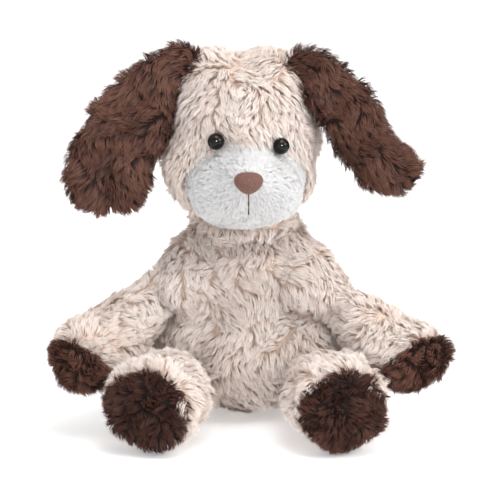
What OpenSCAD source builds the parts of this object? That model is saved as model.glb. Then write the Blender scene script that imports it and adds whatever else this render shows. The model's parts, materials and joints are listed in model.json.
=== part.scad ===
// Seated plush puppy: pile-fabric covers over fibre stuffing, joined along sewn seams.
// Millimetres, +Z up. The front faces -Y. Left and right are as seen from the front.
// The origin is on the surface it sits on, under the middle of its outer box.
// Each limb leaves the torso through a round seam opening. Its root is a ball centred on
// that seam, so that the limb can swing there and stay clear of the torso's cover.

/* [Fabric] */
// Thickness of the pile fabric, backing and pressed pile together
pile_t = 5; // [3:0.5:6]
// Room left between two soft pieces
gap = 0.5; // [0.3:0.05:0.8]

/* [Torso] */
// Width of the belly
torso_w = 126; // [116:1:130]
// Depth of the belly
torso_d = 106; // [98:1:110]
// Height of the torso cover, up to the neck seam
torso_h = 128; // [122:1:130]
// Diameter of the bag of pellets in the seat
pellet_bag_d = 62; // [50:1:66]

/* [Neck] */
// Diameter of the neck where it is gathered
neck_d = 84; // [78:1:86]
// Height of the middle of the neck
neck_z = 146; // [144:1:148]

/* [Head] */
// Width across the cheeks
head_w = 112; // [108:1:118]
// Depth without the muzzle
head_d = 106; // [100:1:110]
// Height from the chin to the crown
head_h = 126; // [122:1:130]
// Height of the crown
crown_z = 271; // [266:1:274]
// Width of the muzzle patch
muzzle_w = 82; // [74:1:84]
// Height of the muzzle patch
muzzle_h = 54; // [50:1:56]
// Diameter of the eyes
eye_d = 12; // [9:0.5:13]
// Distance between the eyes
eye_spacing = 46; // [40:1:50]
// Width of the nose
nose_w = 20; // [16:1:24]

/* [Ears] */
// Width of the left ear, which hangs open
left_ear_w = 56; // [50:1:60]
// Width of the right ear, which is folded lengthways
right_ear_w = 38; // [34:1:44]
// Thickness of an ear
ear_t = 18; // [16:1:22]

/* [Arms] */
// Length from the shoulder to the end of the paw
arm_len = 109; // [106:1:112]
// Diameter at the shoulder seam
arm_root_d = 39; // [36:1:42]
// Diameter of the paw
paw_d = 51; // [46:1:52]

/* [Legs] */
// Length from the hip to the sole
leg_len = 83; // [80:1:85]
// Diameter at the hip seam
leg_root_d = 46; // [42:1:48]
// Width and height of the foot
foot_d = 73; // [68:1:74]
// How far the left leg points away from straight ahead
left_splay = 15; // [12:1:16]
// How far the right leg points away from straight ahead
right_splay = 15; // [12:1:16]

/* [Tail] */
// Length of the tail outside the body
tail_len = 32; // [26:1:36]
// Diameter of the tail
tail_d = 24; // [20:1:28]

/* [Hidden] */

cream = [0.86, 0.79, 0.74];
white = [0.95, 0.94, 0.93];
dark_brown = [0.27, 0.18, 0.15];
nose_brown = [0.50, 0.36, 0.32];
fibre = [0.96, 0.96, 0.94];
black = [0.05, 0.04, 0.04];
thread = [0.38, 0.29, 0.25];
left = -1;
right = 1;
sides_round = 22;                     // points in one ring of a soft shape
ball_fn = 48;

// Middles of the torso, neck and head
torso_x = -2;
torso_y = 23;
neck_at = [-3, 20, neck_z];
head_at = [-7, 12, crown_z - head_h / 2];
seat_back = 20;                       // the seat is this far behind the torso's middle
// Shares of the torso's height, and of its full width there
torso_profile = [[0, 0.50], [0.05, 0.76], [0.14, 0.92], [0.30, 1], [0.48, 0.98],
                 [0.64, 0.86], [0.80, 0.78], [0.92, 0.75], [1, 0.74]];
// Seams that the soft pieces turn about
shoulder = [58, -1, 100];              // from the torso's middle, across, and along Y and Z
hip = [44, -24, 37.5];
tail_at = [torso_x, torso_y + torso_d / 2 + 4, 34];
tail_tilt = 34;                       // the tail rises at this angle
paw_at = [115, -38, 60];              // middle of each paw

// The ears' middle lines: root, a control point that bends them outward, and the tip
left_ear_line = [[-42, 3, 258], [-80, 0, 262], [-108, -9, 160]];
right_ear_line = [[33, 3, 259], [60, 0, 243], [113, -9, 176]];
ear_root_r = 15;

muzzle_at = [-1, -24, 178];           // middle of the muzzle where it leaves the head
muzzle_len = 50;
muzzle_sunk = 10;                     // how far the patch's edge is turned into the head
muzzle_power = 2.2;
eye_z = 213.5;
eye_drop = 4;                         // the head leans, so the right eye is lower
eye_x = -1;                           // middle between the eyes
shank_r = 2;
shank_len = 14;
washer_r = 5.4;
washer_t = 1.6;
washer_z = -pile_t - 4;               // from the face, along an eye's shank
nose_z = 190;
mouth_len = 14;
mouth_low_z = 167;
stitch_r = 0.7;
hair = 0.05;                          // room between pieces that lie on each other

// ---- Shapes -------------------------------------------------------------

function unit(v) = v / norm(v);
function ease(t) = let (c = min(1, max(0, t))) c * c * (3 - 2 * c);
// What is left of a rounded shape's width, a share t of the way to its end
function dome(t, power) = pow(max(0, 1 - pow(min(1, abs(t)), power)), 1 / power);

// A closed ring of points round centre, with half-width a along u and b along v
function ring(centre, u, v, a, b) =
    [for (i = [0:sides_round - 1])
        let (angle = 360 * i / sides_round)
        centre + a * cos(angle) * u + b * sin(angle) * v];

function flat(rings) = [for (one = rings, point = one) point];

// The skin between rings first and last. Inside out where flip is true
function skin_faces(first, last, flip) =
    [for (j = [first:last - 1], i = [0:sides_round - 1])
        let (k = (i + 1) % sides_round,
             a = j * sides_round + i, b = j * sides_round + k,
             c = b + sides_round, d = a + sides_round)
        each (flip ? [[a, c, d], [a, b, c]] : [[a, d, c], [a, c, b]])];

function cap(ring_no, reverse) =
    [for (i = [0:sides_round - 1])
        ring_no * sides_round + (reverse ? sides_round - 1 - i : i)];

// A solid through the rings, closed flat at both ends
module loft(rings) {
    last = len(rings) - 1;
    polyhedron(points = flat(rings),
               faces = concat([cap(0, false)], skin_faces(0, last, false), [cap(last, true)]));
}

// A cover between two sets of rings, open where they start and closed at their far end
module cover(outer, inner) {
    last = len(outer) - 1;
    start = len(outer);
    end = start + len(inner) - 1;
    rim = [for (i = [0:sides_round - 1])
        let (k = (i + 1) % sides_round,
             a = i, b = k, c = start * sides_round + k, d = start * sides_round + i)
        each [[a, b, c], [a, c, d]]];
    polyhedron(points = concat(flat(outer), flat(inner)),
               faces = concat(skin_faces(0, last, false), [cap(last, true)],
                              skin_faces(start, end, true), [cap(end, false)], rim));
}

module ball(at, r) {
    translate(at) sphere(r = r, $fn = ball_fn);
}

// ---- Torso --------------------------------------------------------------

// How far behind the torso's middle a ring lies
function torso_lean(share) = seat_back * pow(max(0, 1 - share / 0.3), 2);

// Rings from the neck seam down to the seat, drawn in by inset
function torso_rings(inset) =
    [for (k = [len(torso_profile) - 1:-1:0])
        let (share = torso_profile[k][0],
             wide = torso_profile[k][1],
             z = max(inset + hair * k, share * torso_h))
        ring([torso_x, torso_y + torso_lean(share), z], [1, 0, 0], [0, -1, 0],
             wide * torso_w / 2 - inset, wide * torso_d / 2 - inset)];

function shoulder_at(side) = [torso_x + side * shoulder.x, shoulder.y, shoulder.z];
function hip_at(side) = [torso_x + side * hip.x, hip.y, hip.z];

// The rooms that the neck and the limbs' roots take out of the torso
module torso_seams() {
    ball(neck_at, neck_d / 2 + gap);
    for (side = [left, right]) {
        ball(shoulder_at(side), arm_root_d / 2 + gap);
        ball(hip_at(side), leg_root_d / 2 + gap);
    }
    ball(tail_at, tail_d / 2 + 2 * gap);
}

module body_cover() {
    color(cream) difference() {
        cover(torso_rings(0), torso_rings(pile_t));
        torso_seams();
    }
}

pellet_bag_at = [torso_x, torso_y + 10, pile_t + 20];
module pellet_bag_shape(grow) {
    translate(pellet_bag_at) scale([1, 1, 0.5]) sphere(d = pellet_bag_d + 2 * grow, $fn = ball_fn);
}

module body_stuffing() {
    color(fibre) difference() {
        loft(torso_rings(pile_t + gap));
        torso_seams();
        pellet_bag_shape(gap);
    }
}

module seat_pellet_bag() {
    color("lightgray") pellet_bag_shape(0);
}

// A ladder stitch that closes the back, each stitch a short bar across the seam
stitch_rows = 9;
stitch_pitch = 5;
stitch_low = 62;
function back_y(z) = torso_y + torso_d / 2 * lookup(z / torso_h, torso_profile);
module back_closing_stitches() {
    color(thread) for (i = [0:stitch_rows - 1]) {
        z = stitch_low + i * stitch_pitch;
        translate([torso_x, back_y(z) + stitch_r + hair, z]) rotate([0, 90, 0])
            cylinder(r = stitch_r, h = stitch_pitch, center = true, $fn = 24);
    }
}

// ---- Neck ---------------------------------------------------------------

neck_band = 17;                       // half the height of the gathered cover

module neck_cover() {
    color(cream) intersection() {
        difference() {
            ball(neck_at, neck_d / 2);
            ball(neck_at, neck_d / 2 - pile_t);
        }
        translate(neck_at) cube([neck_d + 2, neck_d + 2, 2 * neck_band], center = true);
    }
}

module neck_stuffing() {
    color(fibre) ball(neck_at, neck_d / 2 - pile_t - gap);
}

// ---- Head ---------------------------------------------------------------

head_power = 2.35;                    // above 2 is squarer than an ellipse
head_rings_n = 12;

function head_half_width(z) = head_w / 2 * dome((z - head_at.z) / (head_h / 2), head_power);
// Where the front of the face is, at x and z
function face_y(x, z) =
    head_at.y - head_d / head_w * head_half_width(z) * dome((x - head_at.x) / head_half_width(z), 2);

// How far the face looks outward there
function face_turn(x, z) =
    atan2((x - head_at.x) * pow(head_d / head_w, 2), head_at.y - face_y(x, z));

// Rings from the chin up to the crown
function head_rings(inset) =
    [for (k = [1:head_rings_n])
        let (share = -cos(180 * k / (head_rings_n + 1)),
             wide = dome(share, head_power))
        ring(head_at + [0, 0, share * (head_h / 2 - inset)], [1, 0, 0], [0, 1, 0],
             wide * (head_w / 2 - inset), wide * (head_d / 2 - inset))];

// Rings from inside the head out to the front of the muzzle
function muzzle_rings(inset, sunk) =
    [for (k = [-1:7])
        let (share = sin(86 * max(0, k) / 7),
             wide = dome(share, muzzle_power))
        ring(muzzle_at + [0, k < 0 ? sunk : -share * (muzzle_len - inset), 0],
             [1, 0, 0], [0, 0, 1],
             wide * (muzzle_w / 2 - inset), wide * (muzzle_h / 2 - inset))];

// Where the front of the muzzle is, down its middle
function muzzle_y(z) =
    muzzle_at.y - muzzle_len * dome((z - muzzle_at.z) / (muzzle_h / 2), muzzle_power);

module head_seams() {
    ball(neck_at, neck_d / 2 + gap);
    ball(left_ear_line[0], ear_root_r + 1 + gap);
    ball(right_ear_line[0], ear_root_r + 1 + gap);
}

// Puts its children on the face at an eye, with +Z pointing out of the head
module at_eye(side) {
    x = eye_x + side * eye_spacing / 2;
    z = eye_z - (side == right ? eye_drop : 0);
    translate([x, face_y(x, z), z]) rotate([90, 0, face_turn(x, z)]) children();
}

module head_cover() {
    color(cream) difference() {
        cover(head_rings(0), head_rings(pile_t));
        head_seams();
        loft(muzzle_rings(-gap / 2, muzzle_sunk + gap));
        for (side = [left, right]) at_eye(side)
            translate([0, 0, -pile_t - 4]) cylinder(r = shank_r + 0.7, h = pile_t + 9, $fn = 32);
    }
}

module head_stuffing() {
    color(fibre) difference() {
        union() {
            loft(head_rings(pile_t + gap));
            loft(muzzle_rings(pile_t + gap, muzzle_sunk - gap));
        }
        difference() {
            loft(muzzle_rings(-gap, muzzle_sunk + gap));
            loft(muzzle_rings(pile_t + gap, muzzle_sunk + 2 * gap));
        }
        head_seams();
        for (side = [left, right]) at_eye(side)
            translate([0, 0, -shank_len - 2])
                cylinder(r = washer_r + gap, h = shank_len + 1, $fn = 32);
    }
}

module muzzle_patch() {
    color(white) difference() {
        cover(muzzle_rings(0, muzzle_sunk), muzzle_rings(pile_t, muzzle_sunk));
        ball(neck_at, neck_d / 2 + gap);
    }
}

nose_stand = 3;                       // how far the nose stands out of the muzzle
nose_corner = 4;
nose_half_h = 4;                      // half the height between its corners' middles
nose_deep = 22;

// A rounded triangle with its point down, cut to lie on the muzzle
module nose_patch() {
    across = nose_w / 2 - nose_corner;
    color(nose_brown) difference() {
        translate([muzzle_at.x, muzzle_at.y - muzzle_len - nose_stand, nose_z])
            rotate([-90, 0, 0]) hull()
                for (corner = [[-across, -nose_half_h], [across, -nose_half_h], [0, nose_half_h]])
                    translate(corner) cylinder(r = nose_corner, h = nose_deep, $fn = 32);
        loft(muzzle_rings(-hair, 0));
    }
}

// One straight thread from the nose down the middle of the muzzle
module mouth_stitch() {
    low_y = muzzle_y(mouth_low_z);
    lean = atan2(low_y - muzzle_y(mouth_low_z + mouth_len), mouth_len);
    color(thread) difference() {
        translate([muzzle_at.x, low_y, mouth_low_z])
            rotate([lean, 0, 0]) cylinder(r = 2 * stitch_r, h = mouth_len, $fn = 24);
        loft(muzzle_rings(-hair, 0));
    }
}

// A domed safety eye on a shank with a collar on each side of its washer
module eye(side) {
    collar_r = shank_r + 0.5;
    collar_t = 1;
    color(black) at_eye(side) {
        difference() {
            sphere(d = eye_d, $fn = ball_fn);
            translate([0, 0, hair - eye_d / 2]) cube(eye_d, center = true);
        }
        translate([0, 0, -shank_len]) cylinder(r = shank_r, h = shank_len + 1, $fn = 32);
        for (z = [washer_z - washer_t - collar_t - hair, washer_z + hair])
            translate([0, 0, z]) cylinder(r = collar_r, h = collar_t, $fn = 32);
    }
}

module eye_washer(side) {
    color("ivory") at_eye(side) translate([0, 0, washer_z - washer_t]) difference() {
        cylinder(r = washer_r, h = washer_t, $fn = 48);
        translate([0, 0, -1]) cylinder(r = shank_r + hair, h = washer_t + 2, $fn = 48);
    }
}

module left_eye() { eye(left); }
module right_eye() { eye(right); }
module left_eye_washer() { eye_washer(left); }
module right_eye_washer() { eye_washer(right); }

// ---- Ears ---------------------------------------------------------------

ear_rings_n = 11;

function on_line(line, t) =
    (1 - t) * (1 - t) * line[0] + 2 * t * (1 - t) * line[1] + t * t * line[2];
function along_line(line, t) =
    unit(2 * (1 - t) * (line[1] - line[0]) + 2 * t * (line[2] - line[1]));

// Rings round the root's ball, then along the ear's middle line to its tip
function ear_rings(line, width, inset) =
    let (flat_way = unit([0, 1, 0] - ([0, 1, 0] * along_line(line, 0)) * along_line(line, 0)),
         root_dir = along_line(line, 0),
         root_r = ear_root_r - inset)
    concat(
        [for (angle = [35, 60])
            ring(line[0] - root_r * cos(angle) * root_dir, cross(flat_way, root_dir), flat_way,
                 root_r * sin(angle), (ear_t / 2 - inset) * sin(angle))],
        [for (k = [0:ear_rings_n - 1])
            let (t = sin(90 * k / (ear_rings_n - 0.45)),
                 dir = along_line(line, t),
                 thin = unit([0, 1, 0] - ([0, 1, 0] * dir) * dir),
                 spread = ear_root_r + (width / 2 - ear_root_r) * ease(t * 1.9),
                 tip = dome(max(0, (t - 0.70) / 0.30), 2.1),
                 thick = dome(max(0, (t - 0.80) / 0.20), 2.1))
            ring(on_line(line, t * (1 - inset / 130)), cross(thin, dir), thin,
                 max(0.8, spread * tip - inset), max(0.6, (ear_t / 2) * thick - inset))]);

// The head with a little room all round, which the ears lie against
module head_room() {
    loft(head_rings(-gap));
}

module ear_cover(line, width) {
    color(dark_brown) difference() {
        cover(ear_rings(line, width, 0), ear_rings(line, width, pile_t));
        difference() {
            head_room();
            ball(line[0], ear_root_r + 1);
        }
    }
}

module ear_wadding(line, width) {
    color(fibre) difference() {
        loft(ear_rings(line, width, pile_t + gap));
        difference() {
            head_room();
            ball(line[0], ear_root_r + 1);
        }
    }
}

module left_ear_cover() { ear_cover(left_ear_line, left_ear_w); }
module left_ear_wadding() { ear_wadding(left_ear_line, left_ear_w); }
module right_ear_cover() { ear_cover(right_ear_line, right_ear_w); }
module right_ear_wadding() { ear_wadding(right_ear_line, right_ear_w); }

// ---- Limbs --------------------------------------------------------------

// Rings round the root's ball, then out to a rounded end. round_from is where the end starts
function limb_rings(root, dir, length, root_r, end_r, round_from, power, inset) =
    let (u = unit(cross(dir, [0, 0, 1])),
         v = cross(dir, u),
         ball_r = root_r - inset)
    concat(
        [for (angle = [35:18:71])
            ring(root - ball_r * cos(angle) * dir, u, v, ball_r * sin(angle), ball_r * sin(angle))],
        [for (k = [0:9])
            let (t = sin(84 * k / 9),
                 full = root_r + (end_r - root_r) * ease((t - 0.06) * 2),
                 r = full * dome(max(0, (t - round_from) / (1 - round_from)), power))
            ring(root + t * (length - inset) * dir, u, v, max(1, r - inset), max(1, r - inset))]);

function arm_dir(side) = unit([side * paw_at.x, paw_at.y, paw_at.z] - shoulder_at(side));
function arm_rings(side, inset) =
    limb_rings(shoulder_at(side), arm_dir(side), arm_len, arm_root_d / 2, paw_d / 2, 0.72, 2.2, inset);

function leg_dir(splay, side) = [side * sin(splay), -cos(splay), 0];
function leg_rings(side, splay, inset) =
    limb_rings(hip_at(side), leg_dir(splay, side), leg_len, leg_root_d / 2, foot_d / 2, 0.80, 2.6, inset);

// A thick slab beyond a plane, which parts a limb's cover from its pad
module beyond(point, normal) {
    turn = [0, acos(normal.z), atan2(normal.y, normal.x)];
    translate(point) rotate(turn) translate([-100, -100, 0]) cube([200, 200, 100]);
}

paw_pad_at = 0.80;                    // share of the arm where the pad's seam crosses its middle
function paw_pad_normal(side) = unit([side * 0.45, -0.62, -0.64]);
module paw_seam(side) {
    beyond(shoulder_at(side) + paw_pad_at * arm_len * arm_dir(side), paw_pad_normal(side));
}

foot_pad_at = 0.84;
module foot_seam(side, splay) {
    beyond(hip_at(side) + foot_pad_at * leg_len * leg_dir(splay, side), leg_dir(splay, side));
}

module arm_cover(side) {
    color(cream) difference() {
        cover(arm_rings(side, 0), arm_rings(side, pile_t));
        paw_seam(side);
    }
}

module paw_pad(side) {
    color(dark_brown) intersection() {
        cover(arm_rings(side, 0), arm_rings(side, pile_t));
        paw_seam(side);
    }
}

module arm_stuffing(side) {
    color(fibre) loft(arm_rings(side, pile_t + gap));
}

module leg_cover(side, splay) {
    color(cream) difference() {
        cover(leg_rings(side, splay, 0), leg_rings(side, splay, pile_t));
        foot_seam(side, splay);
    }
}

module foot_pad(side, splay) {
    color(dark_brown) intersection() {
        cover(leg_rings(side, splay, 0), leg_rings(side, splay, pile_t));
        foot_seam(side, splay);
    }
}

module leg_stuffing(side, splay) {
    color(fibre) loft(leg_rings(side, splay, pile_t + gap));
}

module left_arm_cover() { arm_cover(left); }
module left_arm_stuffing() { arm_stuffing(left); }
module left_paw_pad() { paw_pad(left); }
module right_arm_cover() { arm_cover(right); }
module right_arm_stuffing() { arm_stuffing(right); }
module right_paw_pad() { paw_pad(right); }
module left_leg_cover() { leg_cover(left, left_splay); }
module left_leg_stuffing() { leg_stuffing(left, left_splay); }
module left_foot_pad() { foot_pad(left, left_splay); }
module right_leg_cover() { leg_cover(right, right_splay); }
module right_leg_stuffing() { leg_stuffing(right, right_splay); }
module right_foot_pad() { foot_pad(right, right_splay); }

// ---- Tail ---------------------------------------------------------------

function tail_rings(inset) =
    limb_rings(tail_at, [0, cos(tail_tilt), sin(tail_tilt)], tail_len, tail_d / 2, tail_d / 2 - 2,
               0.35, 2.1, inset);

module tail_cover() {
    color(dark_brown) cover(tail_rings(0), tail_rings(pile_t));
}

module tail_stuffing() {
    color(fibre) loft(tail_rings(pile_t + gap));
}

body_cover();
body_stuffing();
seat_pellet_bag();
back_closing_stitches();
neck_cover();
neck_stuffing();
head_cover();
head_stuffing();
muzzle_patch();
nose_patch();
mouth_stitch();
left_eye();
right_eye();
left_eye_washer();
right_eye_washer();
left_ear_cover();
left_ear_wadding();
right_ear_cover();
right_ear_wadding();
left_arm_cover();
left_arm_stuffing();
left_paw_pad();
right_arm_cover();
right_arm_stuffing();
right_paw_pad();
left_leg_cover();
left_leg_stuffing();
left_foot_pad();
right_leg_cover();
right_leg_stuffing();
right_foot_pad();
tail_cover();
tail_stuffing();
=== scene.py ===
"""A seated plush dog: pile-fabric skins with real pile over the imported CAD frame. Metres."""
import json
import math

import bpy
import numpy as np
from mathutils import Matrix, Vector, kdtree


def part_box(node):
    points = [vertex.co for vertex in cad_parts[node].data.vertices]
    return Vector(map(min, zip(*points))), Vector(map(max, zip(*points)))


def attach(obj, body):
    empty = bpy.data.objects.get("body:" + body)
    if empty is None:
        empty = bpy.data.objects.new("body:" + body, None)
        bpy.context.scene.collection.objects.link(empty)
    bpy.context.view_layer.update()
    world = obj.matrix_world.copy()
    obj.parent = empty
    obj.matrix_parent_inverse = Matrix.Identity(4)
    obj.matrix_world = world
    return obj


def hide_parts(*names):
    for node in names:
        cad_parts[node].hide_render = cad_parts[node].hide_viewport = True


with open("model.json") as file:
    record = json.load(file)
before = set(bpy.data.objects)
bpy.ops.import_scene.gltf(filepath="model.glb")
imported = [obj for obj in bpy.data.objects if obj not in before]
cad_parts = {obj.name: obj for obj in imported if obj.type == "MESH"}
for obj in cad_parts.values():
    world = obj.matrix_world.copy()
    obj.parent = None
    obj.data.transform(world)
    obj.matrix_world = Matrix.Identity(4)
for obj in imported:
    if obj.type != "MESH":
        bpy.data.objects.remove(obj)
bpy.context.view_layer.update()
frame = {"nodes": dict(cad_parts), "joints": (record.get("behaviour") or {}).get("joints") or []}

MM = 0.001
FLOOR_GAP = 0.3 * MM                  # pile that would go lower lies on the floor instead
ROOT_DEPTH = 0.8 * MM                 # how deep in the backing a strand starts
TWIST = 18                            # the most a strand turns about its length, in degrees
WAVE_COUNT = 8                        # plane waves summed for one noise field
COARSE_VOXEL = 5 * MM                 # remesh size before the cloth simulation
CLOTH_PRESSURE = 4
CLOTH_FRAMES = 20
SWELL = 3 * MM                        # the furthest the cloth moves a point
PELT = 4.5 * MM                       # how far under the CAD surface the backing lies
JOINT = {j["name"]: j for j in frame["joints"]}
SIDES = {"left": -1, "right": 1}      # the sign of x on each side


def vec(*xyz):
    return np.array(xyz, float)


def mm(x, y, z):
    return vec(x, y, z) * MM


def unit(v):
    return v / np.maximum(np.linalg.norm(v, axis=-1, keepdims=True), 1e-12)


def smooth(t):
    t = np.clip(t, 0.0, 1.0)
    return t * t * (3 - 2 * t)


def pivot(joint):
    return np.array(JOINT[joint]["pos_m"], float)


def node_box(name):
    low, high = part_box(name)
    return np.array(low), np.array(high)


# ---- Skins: closed meshes held as arrays --------------------------------------


def waves(points, wavelength, seed):
    """Smooth noise of about unit size: a sum of plane waves."""
    rng = np.random.default_rng(seed)
    total = np.zeros(len(points))
    for _ in range(WAVE_COUNT):
        way = unit(rng.normal(size=3)) * (2 * math.pi / wavelength) * rng.uniform(0.6, 1.5)
        total += np.sin(points @ way + rng.uniform(0, 2 * math.pi))
    return total * math.sqrt(2.0 / WAVE_COUNT)


def wave_vectors(points, wavelength, seed):
    return np.stack([waves(points, wavelength, seed + 11 * k) for k in range(3)], 1)


def loft(rings):
    """A closed mesh through rings of points, each (count, 3)."""
    rings = np.array(rings)
    rows, count = rings.shape[:2]
    verts = np.concatenate([rings.reshape(-1, 3), rings[:1].mean(1), rings[-1:].mean(1)])
    j, i = np.meshgrid(np.arange(rows - 1), np.arange(count), indexing="ij")
    a, b = j * count + i, j * count + (i + 1) % count
    quads = np.stack([a, b, b + count, a + count], -1).reshape(-1, 4)
    one = np.arange(count)
    two = (one + 1) % count
    start = np.stack([two, one, np.full(count, rows * count)], 1)
    last = (rows - 1) * count
    end = np.stack([last + one, last + two, np.full(count, rows * count + 1)], 1)
    return verts, [list(q) for q in quads] + [list(t) for t in start] + [list(t) for t in end]


def tube(path, radii, flat=1.0, count=32, steps=40):
    """A round-ended closed tube through path points; radii are the half-widths there.
    flat squeezes it from front to back."""
    path = np.array(path, float)
    radii = np.array(radii, float)
    knots = np.linspace(0, 1, len(path))
    t = np.linspace(0, 1, steps)
    mid = np.stack([spline(knots, path[:, k], t) for k in range(3)], 1)
    wide = np.maximum(spline(knots, radii, t), 0.2 * MM)
    along, thin, side = strip_axes(mid)
    cos, sin = turns(count)
    rings = [mid[k] + wide[k] * (cos * side[k] + flat * sin * thin[k]) for k in range(steps)]
    caps = {}
    for end, sign in ((0, -1), (-1, 1)):
        caps[end] = []
        for turn in (30, 55, 75):
            c, s = math.cos(math.radians(turn)), math.sin(math.radians(turn))
            shift = sign * s * wide[end] * min(1.0, flat + 0.2) * along[end]
            caps[end].append(mid[end] + c * (rings[end] - mid[end]) + shift)
    return loft(caps[0][::-1] + rings + caps[-1])


def turns(count):
    """Cosines and sines of one full turn, as columns."""
    angle = 2 * math.pi * np.arange(count) / count
    return np.cos(angle)[:, None], np.sin(angle)[:, None]


def strip_axes(line):
    """At each point of a line: along it, towards the back, and across it."""
    along = unit(np.gradient(line, axis=0))
    thin = unit(vec(0, 1, 0) - (along @ vec(0, 1, 0))[:, None] * along)
    return along, thin, np.cross(thin, along)


def level(x, y, z):
    """Points or directions that share one z."""
    return np.stack([x, y, np.full(len(x), z)], 1)


def spline(knots, values, t):
    """Catmull-Rom through values at knots."""
    padded = np.concatenate([[2 * values[0] - values[1]], values, [2 * values[-1] - values[-2]]])
    last = len(values) - 2
    k = np.clip(np.searchsorted(knots, t, side="right") - 1, 0, last)
    f = (t - knots[k]) / (knots[k + 1] - knots[k])
    p0, p1, p2, p3 = padded[k], padded[k + 1], padded[k + 2], padded[k + 3]
    return 0.5 * (2 * p1 + (p2 - p0) * f + (2 * p0 - 5 * p1 + 4 * p2 - p3) * f ** 2
                  + (3 * p1 - p0 - 3 * p2 + p3) * f ** 3)


def egg(centre, half, power=2.0):
    """A closed ellipsoid; power above 2 makes its profile squarer."""
    rows, count = 28, 40
    angle = 2 * math.pi * np.arange(count) / count
    rings = []
    for k in range(1, rows):
        share = -math.cos(math.pi * k / rows)
        wide = (1 - abs(share) ** power) ** (1 / power)
        rings.append(level(centre[0] + half[0] * wide * np.cos(angle),
                           centre[1] + half[1] * wide * np.sin(angle), centre[2] + half[2] * share))
    return loft(rings)


SKINS = {}                            # the finished skins, by the names of their bodies


def applied(mesh, modifiers):
    """The mesh as its modifiers leave it, given as (type, {setting: value}) pairs."""
    ob = bpy.data.objects.new("work", mesh)
    bpy.context.scene.collection.objects.link(ob)
    for kind, settings in modifiers:
        modifier = ob.modifiers.new(kind, kind)
        for key, value in settings.items():
            setattr(modifier, key, value)
    done = bpy.data.meshes.new_from_object(ob.evaluated_get(bpy.context.evaluated_depsgraph_get()))
    bpy.data.objects.remove(ob)
    bpy.data.meshes.remove(mesh)
    return done


def remeshed(mesh, voxel, soften):
    """One closed surface around all the shapes in a mesh."""
    return applied(mesh, [("REMESH", {"mode": "VOXEL", "voxel_size": voxel}),
                          ("SMOOTH", {"factor": 0.5, "iterations": soften})])


def inflated(mesh):
    """The mesh blown up as sewn cloth round its stuffing, no point moving further than SWELL."""
    scene = bpy.context.scene
    ob = bpy.data.objects.new("cloth", mesh)
    scene.collection.objects.link(ob)
    cloth = ob.modifiers.new("cloth", "CLOTH")
    cloth.settings.use_pressure = True
    cloth.settings.uniform_pressure_force = CLOTH_PRESSURE
    cloth.settings.quality = 5
    cloth.settings.effector_weights.gravity = 0
    for number in range(1, CLOTH_FRAMES + 1):
        scene.frame_set(number)
    blown = ob.evaluated_get(bpy.context.evaluated_depsgraph_get()).data
    old, new = np.empty(len(mesh.vertices) * 3), np.empty(len(mesh.vertices) * 3)
    mesh.vertices.foreach_get("co", old)
    blown.vertices.foreach_get("co", new)
    move = (new - old).reshape(-1, 3)
    far = np.linalg.norm(move, axis=1, keepdims=True) + 1e-9
    move *= SWELL * np.tanh(far / SWELL) / far
    scene.frame_set(1)
    bpy.data.objects.remove(ob)
    mesh.vertices.foreach_set("co", old + move.ravel())
    mesh.update()
    return applied(mesh, [("SUBSURF", {"levels": 1})])


class Skin:
    """A closed triangle mesh with vertex normals."""

    def __init__(self, shapes):
        mesh = bpy.data.meshes.new("skin")
        verts, faces, first = [], [], 0
        for v, f in shapes:
            verts.append(v)
            faces += [[i + first for i in face] for face in f]
            first += len(v)
        mesh.from_pydata(np.concatenate(verts).tolist(), [], faces)
        mesh = inflated(remeshed(mesh, COARSE_VOXEL, 2))
        self.read(mesh)
        bpy.data.meshes.remove(mesh)

    def read(self, mesh):
        """Takes the triangles of a Blender mesh."""
        mesh.calc_loop_triangles()
        self.verts = np.empty(len(mesh.vertices) * 3)
        mesh.vertices.foreach_get("co", self.verts)
        self.verts = self.verts.reshape(-1, 3)
        self.tris = np.empty(len(mesh.loop_triangles) * 3, np.int32)
        mesh.loop_triangles.foreach_get("vertices", self.tris)
        self.tris = self.tris.reshape(-1, 3)
        self.normals_again()

    def normals_again(self):
        """Areas of the triangles and normals of the vertices."""
        a, b, c = (self.verts[self.tris[:, k]] for k in range(3))
        face = np.cross(b - a, c - a)
        self.area = np.linalg.norm(face, axis=1) / 2
        self.normals = np.zeros_like(self.verts)
        for k in range(3):
            np.add.at(self.normals, self.tris[:, k], face)
        self.normals = unit(self.normals)

    def push(self, amount):
        """Moves each vertex along its normal by amount."""
        self.verts = self.verts + self.normals * np.asarray(amount)[:, None]
        self.normals_again()

    def lumps(self, height, wavelength, seed):
        """The unevenness of hand stuffing."""
        self.push(height * waves(self.verts, wavelength, seed))

    def crease(self, points, depth, width):
        """Presses a groove in along a line of points."""
        near = np.full(len(self.verts), 1e9)
        points = np.array(points, float)
        for a, b in zip(points[:-1], points[1:]):
            d = b - a
            t = np.clip((self.verts - a) @ d / (d @ d), 0, 1)
            near = np.minimum(near, np.linalg.norm(self.verts - a - t[:, None] * d, axis=1))
        self.push(-depth * np.exp(-(near / width) ** 2))

    def sit(self, height):
        """Presses the underside flat at a height above the floor."""
        low = self.verts[:, 2] < height
        self.verts[low, 2] = height + (self.verts[low, 2] - height) * 0.02
        self.normals_again()


# ---- Pile: strands grown on a skin ------------------------------------------------


def scatter(skin, count, rng, keep=None):
    """Random points on the skin, even over its area, with their normals."""
    share = np.cumsum(skin.area)
    pick = np.searchsorted(share, rng.uniform(0, share[-1], count))
    pick = np.minimum(pick, len(skin.tris) - 1)
    u, v = rng.uniform(size=(2, count))
    flip = u + v > 1
    u[flip], v[flip] = 1 - u[flip], 1 - v[flip]
    tri = skin.tris[pick]
    bary = np.stack([1 - u - v, u, v], 1)[:, :, None]
    point = (skin.verts[tri] * bary).sum(1)
    normal = unit((skin.normals[tri] * bary).sum(1))
    if keep is not None:
        held = keep(point, rng)
        point, normal = point[held], normal[held]
    return point, normal


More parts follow.
